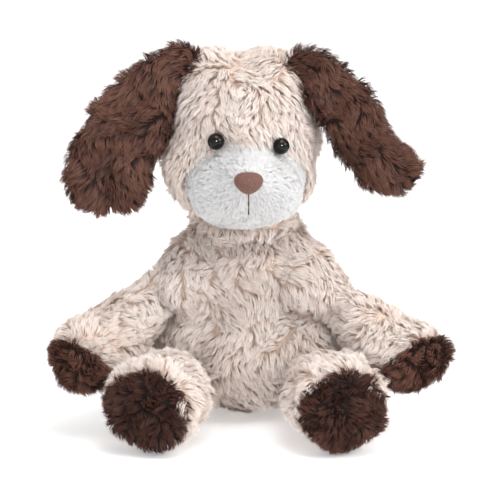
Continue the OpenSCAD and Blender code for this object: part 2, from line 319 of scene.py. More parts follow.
def nearest(points, centres):
    """For each point, which centre is nearest."""
    tree = kdtree.KDTree(len(centres))
    for k, c in enumerate(centres):
        tree.insert(c, k)
    tree.balance()
    return np.fromiter((tree.find(p)[1] for p in points), np.int64, len(points))


def tangent(way, normal):
    """The part of way that lies in the surface."""
    return unit(way - (way * normal).sum(1, keepdims=True) * normal)


def grow(name, skin, body, material, density, length, flow, seed, keep=None, width=0.55 * MM,
         lift=(20, 58), swirl=34, clump=12 * MM, lock=2.8 * MM, gather=(0.16, 0.38), shade=0.4):
    """Grows the pile of one piece: strands in locks, locks in tufts, as one mesh of fine ribbons.
    density is strands per square millimetre. lift is the range of the tufts' angles off the skin
    and swirl the scatter of their directions, in degrees. clump and lock are the sizes of a tuft
    and a lock. gather is how far locks draw together in a tuft, and strands in a lock. shade is
    how far a strand is shaded like the surface under it instead of like a ribbon."""
    rng = np.random.default_rng(seed)
    area = skin.area.sum()
    root, normal = scatter(skin, int(area / MM ** 2 * density), rng, keep)
    tuft, tuft_n = scatter(skin, max(8, int(area / clump ** 2)), rng)
    lock_at, _ = scatter(skin, max(16, int(area / lock ** 2)), rng)
    tuft_of = nearest(lock_at, tuft)
    lock_of = nearest(root, lock_at)

    # Tufts: each has its own direction, lift and length
    turn = np.radians(rng.normal(0, swirl, len(tuft)))[:, None]
    way = tangent(flow(tuft), tuft_n)
    way = np.cos(turn) * way + np.sin(turn) * np.cross(tuft_n, way)
    rise = np.radians(rng.uniform(lift[0], lift[1], len(tuft)))
    long = rng.uniform(0.85, 1.15, len(tuft))

    # Locks: they vary a little within their tuft
    lock_way = unit(0.75 * way[tuft_of] + 0.25 * unit(flow(lock_at))
                    + rng.normal(0, 0.20, (len(lock_at), 3)))
    lock_rise = rise[tuft_of] + np.radians(rng.normal(0, 9, len(lock_at)))
    lock_long = long[tuft_of] * rng.uniform(0.85, 1.12, len(lock_at))
    lock_pull = gather[0] * (tuft[tuft_of] - lock_at)
    lock_tone = rng.uniform(0, 1, len(tuft))[tuft_of] * 0.5 + rng.uniform(0, 1, len(lock_at)) * 0.5

    # Strands: each bends once, rising from its root and then lying over
    n = len(root)
    way = tangent(lock_way[lock_of] + rng.normal(0, 0.10, (n, 3)), normal)
    rise = lock_rise[lock_of] + np.radians(rng.normal(0, 5, n))
    size = (length * lock_long[lock_of] * rng.uniform(0.82, 1.08, n))[:, None]
    pull = lock_pull[lock_of] + gather[1] * (lock_at[lock_of] - root)
    pull -= (pull * normal).sum(1, keepdims=True) * normal
    steep, flat = (np.cos(rise + bend)[:, None] * way + np.sin(rise + bend)[:, None] * normal
                   for bend in (0.45, -0.25))
    base = root - normal * ROOT_DEPTH
    mid = root + 0.5 * size * steep + 0.45 * pull
    tip = root + size * (0.5 * steep + 0.5 * flat) + pull + rng.normal(0, 0.35 * MM, (n, 3))
    make_ribbons(name, body, material, rng, base, mid, tip, normal, width, lock_tone[lock_of], shade)


def make_ribbons(name, body, material, rng, base, mid, tip, normal, width, lock_tone, shade):
    """One mesh of ribbons with five corners each: root pair, middle pair and tip.
    Its "pile" colours hold the share along the strand, the lock's tone and the strand's own."""
    n = len(base)
    for points in (base, mid, tip):
        points[:, 2] = np.maximum(points[:, 2], FLOOR_GAP + rng.uniform(0, 0.8 * MM, n))
    along = unit(tip - base)
    face = unit(normal - (normal * along).sum(1, keepdims=True) * along)
    side = np.cross(along, face)
    twist = np.radians(rng.uniform(-TWIST, TWIST, n))[:, None]
    side = np.cos(twist) * side + np.sin(twist) * face
    face = np.cross(side, along)
    w = width * rng.uniform(0.7, 1.2, n)[:, None] / 2
    half = side * w
    verts = np.stack([base - half, base + half, mid + half * 0.95, mid - half * 0.95, tip], 1)
    first = 5 * np.arange(n)[:, None]
    quads = first + np.array([[0, 1, 2, 3]])
    tris = first + np.array([[3, 2, 4]])
    mesh = bpy.data.meshes.new(name)
    mesh.vertices.add(5 * n)
    mesh.vertices.foreach_set("co", verts.astype(np.float32).ravel())
    mesh.loops.add(7 * n)
    mesh.loops.foreach_set("vertex_index", np.concatenate([quads, tris], 1).astype(np.int32).ravel())
    mesh.polygons.add(2 * n)
    starts = (7 * np.arange(n)[:, None] + np.array([[0, 4]])).astype(np.int32)
    mesh.polygons.foreach_set("loop_start", starts.ravel())
    mesh.update(calc_edges=True)
    mesh.validate()
    flat = shade * np.clip((face * normal).sum(1, keepdims=True), 0, 1) ** (6 * (1 - shade))
    facing = unit(flat * normal + (1 - flat) * face)
    normals = np.repeat(facing, 5, axis=0)
    mesh.normals_split_custom_set_from_vertices(normals.tolist())
    data = np.zeros((n, 5, 4), np.float32)
    data[:, 2:4, 0] = 0.5
    data[:, 4, 0] = 1.0
    data[:, :, 1] = lock_tone[:, None]
    data[:, :, 2] = rng.uniform(0, 1, n)[:, None]
    data[:, :, 3] = 1.0
    layer = mesh.attributes.new("pile", "FLOAT_COLOR", "POINT")
    layer.data.foreach_set("color", data.ravel())
    bake_cells(mesh, n)
    add(name, mesh, body, material)


def bake_cells(mesh, n):
    """A texture layout: each strand has its own small cell."""
    side = math.ceil(math.sqrt(n))
    cell = np.stack([np.arange(n) % side, np.arange(n) // side], 1)[:, None] / side
    quad, tri = [[0.2, 0.1], [0.8, 0.1], [0.8, 0.5], [0.2, 0.5]], [[0.2, 0.5], [0.8, 0.5], [0.5, 0.9]]
    corner = np.array(quad + tri) / side
    layer = mesh.uv_layers.new(name="OFBake")
    layer.data.foreach_set("uv", (cell + corner).astype(np.float32).ravel())


def add(name, mesh, body, material):
    """A visible piece that rides on a body."""
    ob = bpy.data.objects.new(name, mesh)
    bpy.context.scene.collection.objects.link(ob)
    mesh.materials.append(material)
    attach(ob, body)
    return ob


def add_fill(name, skin, body, node, seed):
    """The lumpy stuffing inside a skin."""
    inside = Skin.__new__(Skin)
    inside.verts, inside.tris = skin.verts.copy(), skin.tris
    inside.normals_again()
    inside.push(-4.5 * MM + 1.2 * MM * waves(inside.verts, 22 * MM, seed))
    ob = add_skin(name, inside, body, FIBRE)
    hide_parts(node)


def add_skin(name, skin, body, material, part=None):
    """The woven backing that the pile stands on. part picks the triangles to keep."""
    tris = skin.tris if part is None else skin.tris[part(skin.verts[skin.tris].mean(1))]
    used, again = np.unique(tris, return_inverse=True)
    return add(name, mesh_of(name, skin.verts[used], again.reshape(-1, 3).tolist()), body, material)


def mesh_of(name, verts, faces):
    """A smooth-shaded mesh."""
    mesh = bpy.data.meshes.new(name)
    mesh.from_pydata(verts.tolist(), [], faces)
    for p in mesh.polygons:
        p.use_smooth = True
    return mesh


# ---- Materials ---------------------------------------------------------------------


def new_material(name, roughness, sheen=0.0):
    """A material, its node tree and its shader."""
    mat = bpy.data.materials.new(name)
    mat.use_nodes = True
    shader = mat.node_tree.nodes["Principled BSDF"]
    shader.inputs["Roughness"].default_value = roughness
    shader.inputs["Sheen Weight"].default_value = sheen
    shader.inputs["Sheen Roughness"].default_value = 0.4
    shader.inputs["Specular IOR Level"].default_value = 0.25
    return mat, mat.node_tree, shader


def ramp(tree, source, stops):
    """A colour ramp over source; stops are (place, colour)."""
    node = tree.nodes.new("ShaderNodeValToRGB")
    node.color_ramp.interpolation = "LINEAR"
    while len(node.color_ramp.elements) < len(stops):
        node.color_ramp.elements.new(0.5)
    for element, (at, colour) in zip(node.color_ramp.elements, stops):
        element.position = at
        element.color = (*colour, 1)
    tree.links.new(source, node.inputs["Fac"])
    return node.outputs["Color"]


def tinted(tree, a, b):
    """Colour a multiplied by colour b."""
    node = tree.nodes.new("ShaderNodeMix")
    node.data_type = "RGBA"
    node.blend_type = "MULTIPLY"
    node.inputs["Factor"].default_value = 1.0
    tree.links.new(a, node.inputs["A"])
    tree.links.new(b, node.inputs["B"])
    return node.outputs["Result"]


def mixed(tree, kind, a, b, c=None):
    """A maths node over sockets and numbers."""
    node = tree.nodes.new("ShaderNodeMath")
    node.operation = kind
    for k, value in enumerate((a, b, c)):
        if isinstance(value, bpy.types.NodeSocket):
            tree.links.new(value, node.inputs[k])
        elif value is not None:
            node.inputs[k].default_value = value
    return node.outputs[0]


def noise(tree, scale, detail=2.0, rough=0.5):
    """Noise over the object's own coordinates, which are metres in the frame."""
    place = tree.nodes.new("ShaderNodeTexCoord")
    node = tree.nodes.new("ShaderNodeTexNoise")
    node.inputs["Scale"].default_value = scale
    node.inputs["Detail"].default_value = detail
    node.inputs["Roughness"].default_value = rough
    tree.links.new(place.outputs["Object"], node.inputs["Vector"])
    return node.outputs["Fac"]


def bump(tree, shader, height, strength, distance):
    node = tree.nodes.new("ShaderNodeBump")
    node.inputs["Strength"].default_value = strength
    node.inputs["Distance"].default_value = distance
    tree.links.new(height, node.inputs["Height"])
    tree.links.new(node.outputs["Normal"], shader.inputs["Normal"])


def rgb(r, g, b):
    """A display colour, 0 to 255, as linear light."""
    share = [c / 255 for c in (r, g, b)]
    return tuple(c / 12.92 if c < 0.04045 else ((c + 0.055) / 1.055) ** 2.4 for c in share)


def pile_material(name, root, middle, tip, spread, blotch, sheen=0.25):
    """Pile fibres with locks and strands of slightly different tone. The darker root colour is painted
    shade for the partings between locks.
    spread is how much the tone differs between locks, blotch the colour of larger areas."""
    mat, tree, shader = new_material(name, 0.8, sheen)
    shader.inputs["Sheen Tint"].default_value = (*tip, 1)
    data = tree.nodes.new("ShaderNodeAttribute")
    data.attribute_name = "pile"
    parts = tree.nodes.new("ShaderNodeSeparateColor")
    tree.links.new(data.outputs["Color"], parts.inputs["Color"])
    along, lock, own = (parts.outputs[k] for k in ("Red", "Green", "Blue"))
    tone = mixed(tree, "MULTIPLY_ADD", lock, spread, mixed(tree, "MULTIPLY", own, spread))
    tone = mixed(tree, "SUBTRACT", tone, spread)
    # root colour darker than middle and tip: painted shade low in the pile
    colour = ramp(tree, mixed(tree, "ADD", along, tone), [(0.0, root), (0.42, middle), (0.95, tip)])
    large = ramp(tree, noise(tree, 26, 3), [(0.35, blotch), (0.62, (1.0, 1.0, 1.0))])
    tree.links.new(tinted(tree, colour, large), shader.inputs["Base Color"])
    return mat


def backing_material(name, deep, light):
    """The knitted backing under the pile, seen only where the pile parts. Its colours, a little darker than
    the pile's, are painted shade for those gaps.
    """
    mat, tree, shader = new_material(name, 0.95, 0.1)
    colour = ramp(tree, noise(tree, 900, 3), [(0.3, deep), (0.7, light)])
    tree.links.new(colour, shader.inputs["Base Color"])
    bump(tree, shader, noise(tree, 1600, 2), 0.6, 0.6 * MM)
    return mat


def speckled(name, roughness, low, high, scale, strength, distance, sheen=0.0):
    """A two-tone noise material with a matching bump."""
    mat, tree, shader = new_material(name, roughness, sheen)
    field = noise(tree, scale, 4, 0.6)
    tree.links.new(ramp(tree, field, [(0.3, low), (0.7, high)]), shader.inputs["Base Color"])
    rough = ramp(tree, field, [(0.3, (roughness,) * 3), (0.7, (min(1, roughness + 0.15),) * 3)])
    tree.links.new(rough, shader.inputs["Roughness"])
    bump(tree, shader, field, strength, distance)
    return mat


# Each pile's root colour is darker than its middle and tip: painted shade for the partings between locks.
CREAM = pile_material("cream_pile", rgb(180, 148, 128), rgb(227, 211, 201), rgb(243, 237, 233), 0.10,
                      (0.95, 0.92, 0.895))
WHITE = pile_material("white_pile", rgb(198, 196, 195), rgb(215, 214, 213), rgb(226, 226, 226), 0.08,
                      (0.97, 0.97, 0.98))
BROWN = pile_material("brown_pile", rgb(34, 15, 11), rgb(85, 53, 43), rgb(133, 92, 76), 0.26,
                      (0.74, 0.70, 0.68), sheen=0.12)
# The soles' pile is darker than the paws': painted shade for soles that face forward and down, away from
# the lights.
SHADED_SOLE_BROWN = pile_material("sole_pile_painted_shade", rgb(20, 8, 5), rgb(59, 31, 23), rgb(104, 65, 51), 0.26,
                     (0.70, 0.66, 0.64), sheen=0.08)
PAW = pile_material("paw_pile", rgb(28, 12, 8), rgb(84, 50, 39), rgb(136, 92, 75), 0.26,
                    (0.74, 0.70, 0.68), sheen=0.10)
# The backings are a little darker than their piles: painted shade for the gaps where the pile parts.
CREAM_BACK = backing_material("cream_backing", rgb(198, 170, 152), rgb(222, 203, 190))
WHITE_BACK = backing_material("white_backing", rgb(198, 194, 192), rgb(217, 215, 213))
BROWN_BACK = backing_material("brown_backing", rgb(26, 13, 10), rgb(52, 32, 26))
SUEDE = speckled("nose_suede", 0.75, rgb(92, 62, 54), rgb(120, 87, 77), 900, 0.5, 0.3 * MM, sheen=0.3)
SEAM_THREAD = speckled("seam_thread", 0.7, rgb(196, 176, 162), rgb(220, 204, 192), 2500, 0.5, 0.1 * MM)
THREAD = speckled("sewing_thread", 0.7, rgb(62, 46, 40), rgb(92, 74, 64), 2500, 0.5, 0.1 * MM)
FIBRE = speckled("fibre_fill", 0.9, rgb(222, 222, 216), rgb(246, 246, 242), 260, 0.8, 1.5 * MM)
BAG = speckled("pellet_bag", 0.85, rgb(176, 172, 164), rgb(208, 204, 198), 1400, 0.6, 0.4 * MM)
WASHER = speckled("washer_plastic", 0.45, rgb(222, 214, 196), rgb(232, 226, 212), 300, 0.1, 0.1 * MM)


# ---- Torso ---------------------------------------------------------------------------

low, high = node_box("body_cover")
torso_mid = (low + high) / 2
torso_half = (high - low) / 2
neck = pivot("neck_turn")
shoulder = {side: pivot(f"{side}_shoulder_swing") for side in SIDES}
hip = {side: pivot(f"{side}_hip_lift") for side in SIDES}
tail_root = pivot("tail_wag")

# The torso's width at shares of its height
TORSO_PROFILE = [(0.0, 0.42), (0.03, 0.66), (0.09, 0.84), (0.20, 0.97), (0.32, 1.0), (0.46, 0.985),
                 (0.60, 0.91), (0.74, 0.85), (0.88, 0.83), (1.0, 0.82), (1.10, 0.70)]


def torso_shape():
    """A pear on a flat seat, its underside drawn towards the back."""
    shares, wides = np.array(TORSO_PROFILE).T
    seat = low[2] + 1.6 * MM
    angle = 2 * math.pi * np.arange(48) / 48
    rings = []
    for share in np.linspace(0, shares[-1], 30):
        wide = spline(shares, wides, np.array([share]))[0]
        lean = 20 * MM * max(0, 1 - share / 0.3) ** 2
        rings.append(level(torso_mid[0] + (torso_half[0] * wide - PELT) * np.cos(angle),
                           torso_mid[1] + lean + (torso_half[1] * wide - PELT) * np.sin(angle),
                           seat + share * (high[2] - seat)))
    return loft(rings)


def shoulder_slopes():
    """The fabric slopes from the neck to each arm."""
    return [tube([neck + mm(s * 22, -6, -18), shoulder[side] + mm(-s * 10, -2, 2),
                  shoulder[side] + mm(s * 2, -2, -2)],
                 [22 * MM, (22.5 - s) * MM, 16 * MM]) for side, s in SIDES.items()]


haunches = [egg(mm(torso_mid[0] / MM + s * 49, 8, 58), mm(24, 28, 28)) for s in SIDES.values()]
torso = Skin([torso_shape()] + shoulder_slopes() + haunches)
torso.lumps(1.3 * MM, 46 * MM, 11)
torso.crease([mm(torso_mid[0] / MM, high[1] / MM - d, z) for d, z in ((9, 112), (4, 96), (1, 70), (3, 50))],
             1.6 * MM, 3 * MM)
torso.sit(1.5 * MM)



def in_ball(p, at, r):
    """Which points are within r millimetres of a place."""
    return np.linalg.norm(p - at, axis=1) < r * MM


def torso_hidden(p):
    """Where limbs, neck and tail stand, no pile is needed."""
    balls = [(shoulder[side], 15) for side in SIDES] + [(hip[side], 19) for side in SIDES]
    return np.any([in_ball(p, at, r) for at, r in balls + [(neck, 33), (tail_root, 9)]], axis=0)


def torso_keep(p, rng):
    """Thins the pile along the closing seam on the back."""
    behind = (p[:, 1] > torso_mid[1] + 30 * MM) & (np.abs(p[:, 2] - 82 * MM) < 24 * MM)
    seam = np.exp(-((p[:, 0] - torso_mid[0]) / (1.2 * MM)) ** 2) * behind
    return ~torso_hidden(p) & (rng.uniform(size=len(p)) > 0.9 * seam)


def combed(base, amount, wavelength, seed):
    """The nap's direction: base, with waves added to it."""
    return lambda p: unit(base(p)) + amount * wave_vectors(p, wavelength, seed)


torso_flow = combed(lambda p: level((p[:, 0] - torso_mid[0]) * 6, (p[:, 1] - torso_mid[1]) * 4, -1.0),
                    0.40, 52 * MM, 21)
SKINS["body"] = torso
add_skin("body_pelt", torso, "torso", CREAM_BACK)
grow("body_pile", torso, "torso", CREAM, 1.5, 10.5 * MM, torso_flow, 101, lift=(6, 22), swirl=36,
     clump=11 * MM, lock=3 * MM, shade=0.66, keep=torso_keep)

# ---- Neck ----------------------------------------------------------------------------

neck_low, neck_high = node_box("neck_cover")
neck_r = (neck_high[0] - neck_low[0]) / 2 - PELT + 1 * MM
neck_skin = Skin([egg(neck, (neck_r, neck_r, 26 * MM))])
neck_skin.lumps(1.0 * MM, 30 * MM, 12)
SKINS["neck"] = neck_skin
add_skin("neck_pelt", neck_skin, "neck", CREAM_BACK)
neck_flow = combed(lambda p: level(p[:, 0] * 4, p[:, 1] * 2, -1.0), 0.35, 40 * MM, 22)
grow("neck_pile", neck_skin, "neck", CREAM, 1.3, 8.5 * MM, neck_flow, 102, lift=(8, 30), swirl=60,
     keep=lambda p, rng: np.abs(p[:, 2] - neck[2] + 2 * MM) < rng.uniform(4 * MM, 20 * MM, len(p)))

# ---- Head ----------------------------------------------------------------------------

low, high = node_box("head_cover")
head_mid = (low + high) / 2
head_mid[0] = -7 * MM
head_half = vec(high[0] - head_mid[0], 53 * MM, (high[2] - 144 * MM) / 2)
head_mid[1] = high[1] - head_half[1]
head_mid[2] = high[2] - head_half[2]
muzzle_low, muzzle_high = node_box("muzzle_patch")
muzzle_mid = (muzzle_low + muzzle_high) / 2
muzzle_half = (muzzle_high - muzzle_low) / 2
muzzle_at = vec(muzzle_mid[0] - 2 * MM, -24 * MM, muzzle_mid[2] - 1 * MM)
muzzle_deep = muzzle_at[1] - muzzle_low[1]
nose_low, nose_high = node_box("nose_patch")
nose_mid = (nose_low + nose_high) / 2


def head_shapes():
    """The skull, its cheeks and crown, and the muzzle with a mound under the nose."""
    shapes = [egg(head_mid, head_half - PELT, 2.35)]
    for s in SIDES.values():
        shapes.append(egg(head_mid + mm(s * 26, -5, -17), mm(28 - s, 40, 34)))
        shapes.append(egg(head_mid + mm(s * 20, 4, 37), mm(27, 34, 27)))
    shapes.append(egg(head_mid + mm(6, -38, -4), mm(19, 15, 18)))
    muzzle = vec(muzzle_half[0], muzzle_deep, muzzle_half[2]) - PELT + mm(4, 0, 3)
    shapes.append(egg(muzzle_at, muzzle, 2.2))
    for s in SIDES.values():
        shapes.append(egg(muzzle_at + mm(s * 17, -8, 3), mm(22, 33, 19)))
    shapes.append(egg(head_mid + mm(29, 2, -2), mm(26, 36, 34)))
    shapes.append(egg(vec(nose_mid[0], nose_low[1] + 22 * MM, nose_mid[2] - 1 * MM), mm(17, 15, 13)))
    return shapes


head = Skin(head_shapes())
head.lumps(0.9 * MM, 40 * MM, 13)


def muzzle_depth(p):
    """How far inside the muzzle's seam a point is."""
    across = (p[:, 0] - muzzle_at[0]) / (muzzle_half[0] + 2.5 * MM)
    up = (p[:, 2] - muzzle_at[2] - 2.5 * MM) / (muzzle_half[2] + 7 * MM)
    r = np.sqrt(across ** 2 + up ** 2)
    return np.where(p[:, 1] < head_mid[1] - 20 * MM, (1 - r) * 28 * MM, -20 * MM)


head.push(-1.6 * MM * np.exp(-(muzzle_depth(head.verts) / (3 * MM)) ** 2))
mouth_end = node_box("mouth_stitch")[0][2]
head.crease([vec(nose_mid[0], muzzle_low[1] + 3 * MM, nose_low[2]),
             vec(nose_mid[0], muzzle_low[1] + 5 * MM, mouth_end),
             vec(nose_mid[0], muzzle_low[1] + 12 * MM, mouth_end - 8 * MM)], 1.6 * MM, 2.2 * MM)

EYE_R = 6 * MM
EYES = {}                             # each eye's foremost point and the way it faces
for side in SIDES:
    washer = sum(node_box(f"{side}_eye_washer")) / 2
    co = np.array([v.co for v in frame["nodes"][f"{side}_eye"].data.vertices])
    pole = co[np.argmax(np.linalg.norm(co - washer, axis=1))]
    EYES[side] = (pole, unit(pole - washer))
for pole, out in EYES.values():
    dip = np.linalg.norm(head.verts - (pole - EYE_R * out), axis=1)
    head.push(-2.4 * MM * np.exp(-(dip / (9 * MM)) ** 2))


def near_eye(p, r):
    return np.any([in_ball(p, pole - EYE_R * out, r) for pole, out in EYES.values()], axis=0)


def nose_clear(p):
    """No pile grows under the nose patch."""
    return np.hypot((p[:, 0] - nose_mid[0]) / 7.5, (p[:, 2] - nose_mid[2]) / 5.5) > MM


def mouth_clear(p):
    """The pile is parted along the mouth's thread."""
    beside = np.abs(p[:, 0] - nose_mid[0]) > 1.1 * MM
    return beside | (p[:, 2] > nose_mid[2]) | (p[:, 2] < mouth_end - 1 * MM)


def head_flow_base(p):
    back = np.clip((p[:, 1] - head_mid[1] + 30 * MM) / (12 * MM), -1.0, 1.0)
    return level((p[:, 0] - head_mid[0]) * 9, back, -1.0)


head_flow = combed(head_flow_base, 0.24, 44 * MM, 23)
muzzle_flow = combed(lambda p: np.stack([(p[:, 0] - nose_mid[0]), np.full(len(p), 6 * MM),
                                         (p[:, 2] - nose_mid[2]) - 4 * MM], 1), 0.10, 34 * MM, 24)
SKINS["head"] = head
add_skin("head_pelt", head, "head", CREAM_BACK, part=lambda p: muzzle_depth(p) <= 0)
add_skin("muzzle_pelt", head, "head", WHITE_BACK, part=lambda p: muzzle_depth(p) > 0)
grow("head_pile", head, "head", CREAM, 1.6, 10 * MM, head_flow, 103, width=0.5 * MM,
     lift=(5, 19), swirl=16, clump=13 * MM, lock=3.2 * MM, gather=(0.06, 0.22), shade=0.8,
     keep=lambda p, rng: (muzzle_depth(p) < 0.5 * MM) & ~near_eye(p, 7.4) & ~in_ball(p, neck, 36))
grow("muzzle_pile", head, "head", WHITE, 3.0, 4.2 * MM, muzzle_flow, 104, width=0.42 * MM,
     lift=(10, 22), swirl=8, clump=8 * MM, lock=1.8 * MM, gather=(0.02, 0.12), shade=0.92,
     keep=lambda p, rng: (muzzle_depth(p) > 0) & nose_clear(p) & mouth_clear(p) & ~near_eye(p, 6.6))


# ---- Eyes, nose and mouth ------------------------------------------------------------


def eye_material():
    """Moulded black plastic with a dark brown ring in it, under a clear glossy surface."""
    mat, tree, shader = new_material("eye_plastic", 0.05)
    data = tree.nodes.new("ShaderNodeAttribute")
    data.attribute_name = "ring"
    black, brown = rgb(4, 3, 3), rgb(26, 14, 10)
    stops = [(0.0, black), (0.56, black), (0.66, brown), (0.80, brown), (0.92, black)]
    colour = ramp(tree, data.outputs["Fac"], stops)
    tree.links.new(colour, shader.inputs["Base Color"])
    shader.inputs["IOR"].default_value = 1.33
    shader.inputs["Specular IOR Level"].default_value = 0.5
    bump(tree, shader, noise(tree, 500, 2), 0.04, 0.1 * MM)
    return mat


def add_eye(name, node, pole, out, material):
    """A domed plastic eye with a rolled rim, standing on its shank."""
    side = unit(np.cross(out, vec(0, 0, 1)))
    up = np.cross(side, out)
    dome = [(math.sin(math.radians(a)), math.cos(math.radians(a))) for a in range(8, 97, 8)]
    shank = [(1.0, -0.18), (0.93, -0.24), (0.34, -0.24), (0.34, -1.6), (0.02, -1.6)]
    count = 40
    cos, sin = turns(count)
    rings, ring_share = [], []
    for wide, height in [(0.02, 1.0)] + dome + shank:
        centre = pole - EYE_R * out + out * EYE_R * height
        rings.append(centre + EYE_R * wide * (cos * side + sin * up))
        ring_share.append(wide if height > -0.2 else 1.0)
    mesh = mesh_of(name, *loft(rings))
    layer = mesh.attributes.new("ring", "FLOAT", "POINT")
    share = np.concatenate([np.repeat(ring_share, count), [0.0, 1.0]])
    layer.data.foreach_set("value", share.astype(np.float32))
    ob = add(name, mesh, "head", material)
    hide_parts(node)


plastic = eye_material()
for side in SIDES:
    add_eye(f"{side}_eye_dome", f"{side}_eye", *EYES[side], plastic)


def front_of(skin, x, z):
    """Where the skin's front is at x and z."""
    away = np.hypot(skin.verts[:, 0] - x, skin.verts[:, 2] - z)
    near = (away < 3 * MM) & (skin.verts[:, 1] < head_mid[1])
    return np.average(skin.verts[near, 1], weights=1 / (away[near] + 0.2 * MM))


def add_nose():
    """A stuffed suede triangle with rounded corners, its edge turned under."""
    half = (nose_high - nose_low) / 2
    rows = 12
    angle = 2 * math.pi * np.arange(48) / 48
    edge = 1 + 0.07 * np.cos(3 * (angle + math.pi / 2))
    flat = np.stack([half[0] * edge * np.cos(angle), half[2] * edge * np.sin(angle)], 1)
    flat[:, 0] *= 1 - 0.10 * np.minimum(0, np.sin(angle)) ** 2
    rings = []
    front = front_of(head, nose_mid[0], nose_mid[2]) - 5 * MM
    for k in range(rows):
        turn = math.radians(4 + 86 * k / (rows - 1))
        wide, height = math.sin(turn) ** 0.85, math.cos(turn)
        y = front + (1 - height) * 4.2 * MM
        lean = (flat[:, 1] * wide) ** 2 * 30 + (flat[:, 0] * wide) ** 2 * 14
        rings.append(np.stack([nose_mid[0] + flat[:, 0] * wide, y + lean,
                               nose_mid[2] + flat[:, 1] * wide], 1))
    middle = nose_mid[[0, 2]]
    under = rings[-1].copy()
    under[:, 1] += 2.2 * MM
    under[:, [0, 2]] = middle + 0.90 * (under[:, [0, 2]] - middle)
    deep = under.copy()
    deep[:, 1] = np.maximum(deep[:, 1] + 1 * MM, front + 9 * MM)
    deep[:, [0, 2]] = middle + 0.6 * (deep[:, [0, 2]] - middle)
    ob = add("nose", mesh_of("nose", *loft(rings + [under, deep])), "head", SUEDE)
    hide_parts("nose_patch")


def add_mouth():
    """One sewn thread down from the nose, its end going into the fabric."""
    line = [vec(nose_mid[0], front_of(head, nose_mid[0], z) - 0.2 * MM, z)
            for z in np.linspace(nose_low[2] + 1 * MM, mouth_end - 2 * MM, 9)]
    line[-1][1] += 2 * MM
    thread = tube(line, [0.42 * MM] * len(line), count=10, steps=4 * len(line))
    ob = add("mouth_thread", mesh_of("mouth_thread", *thread), "head", THREAD)
    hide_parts("mouth_stitch")


add_nose()
add_mouth()

# ---- Ears ----------------------------------------------------------------------------


def ear_line(root, offsets, t):
    """A smooth line from the ear's root through points that are offsets from it, in mm."""
    points = np.concatenate([[root], root + np.array(offsets, float) * MM])
    knots = np.concatenate([[0], np.cumsum(np.linalg.norm(np.diff(points, axis=0), axis=1))])
    return np.stack([spline(knots / knots[-1], points[:, k], t) for k in range(3)], 1)


def flat_tube(line, wide, thick, cup):
    """An ear: a flat padded strip along line, with half-widths wide and half-thicknesses thick.
    cup pulls its middle back from the front by that much."""
    _, thin, side = strip_axes(line)
    u, v = turns(44)
    v = np.sign(v) * np.abs(v) ** 0.8
    return loft([line[k] + wide[k] * u * side[k]
                 + (thick[k] * v + cup[k] * (1 - u ** 2) * (v < 0.2)) * thin[k] for k in range(len(line))])


def ear_profile(t, root, full, end_from):
    """Widths along an ear: from root to full, then rounded off from end_from to its tip."""
    grown = root + (full - root) * smooth(t * 1.7)
    end = np.clip((t - end_from) / (1 - end_from), 0, 1) ** 2.1
    return np.maximum(grown * np.sqrt(np.maximum(0, 1 - end)), 0.4 * MM)


ear_root = {side: pivot(f"{side}_ear_lift") for side in SIDES}
t = np.sin(np.linspace(0, math.pi / 2, 40))

# The left ear hangs open, with three creases pressed into it
root = ear_root["left"]
line = ear_line(root, [(-10, -2, 3), (-22, -4, -6), (-37, -7, -26), (-52, -9, -54), (-61, -11, -76),
                       (-66, -12, -100)], t)
wide = ear_profile(t, 14 * MM, 31.5 * MM, 0.76)
thick = ear_profile(t, 8 * MM, 6.5 * MM, 0.88)
left_ear = Skin([flat_tube(line, wide, thick, 4 * MM * smooth(t * 2) * (1 - t))])
left_line = line
left_ear.lumps(1.2 * MM, 34 * MM, 14)
for offsets, depth, width in (([(-22, -12, -12), (-33, -14, -20), (-44, -16, -22)], 4, 4),
                              ([(-38, -14, -40), (-52, -16, -44), (-70, -16, -42)], 3, 4),
                              ([(-58, -18, -24), (-60, -18, -60), (-64, -18, -84)], 2.4, 5)):
    left_ear.crease([root + mm(*p) for p in offsets], depth * MM, width * MM)

# The right ear is folded lengthways: two ridges with a web between them
root = ear_root["right"]
line = ear_line(root, [(14, -2, -2), (32, -4, -23), (51, -8, -52), (67, -10, -68), (84, -12, -78)], t)
right_line = line
_, thin, across = strip_axes(line)
ridge = ear_profile(t, 8.5 * MM, 10.5 * MM, 0.86)
apart = ear_profile(t, 6 * MM, 10 * MM, 0.5)
upper = tube((line + apart[:, None] * across)[::3], ridge[::3], 0.86)
lower = tube((line - apart[:, None] * across + thin * -2 * MM)[::3], ridge[::3], 0.86)
web = flat_tube(line, ear_profile(t, 7 * MM, 10 * MM, 0.7), ear_profile(t, 6 * MM, 4.5 * MM, 0.85), 0 * t)
right_ear = Skin([upper, lower, web])
right_ear.lumps(1.0 * MM, 34 * MM, 15)


def ear_flow(line, seed):
    """The nap runs along the ear's line and out over its edges."""
    along = unit(np.gradient(line, axis=0))

    def base(p):
        k = nearest(p, line)
        away = p - line[k]
        away -= (away * along[k]).sum(1, keepdims=True) * along[k]
        return along[k] + 22 * away
    return combed(base, 0.32, 40 * MM, seed)


for side, skin, line, seed in (("left", left_ear, left_line, 31), ("right", right_ear, right_line, 32)):
    SKINS[f"{side}_ear"] = skin
    add_skin(f"{side}_ear_pelt", skin, f"{side}_ear", BROWN_BACK)
    grow(f"{side}_ear_pile", skin, f"{side}_ear", BROWN, 1.4, 10.5 * MM, ear_flow(line, seed), 100 + seed,
         lift=(9, 38), swirl=26, clump=10 * MM)

# ---- Arms and legs ---------------------------------------------------------------------


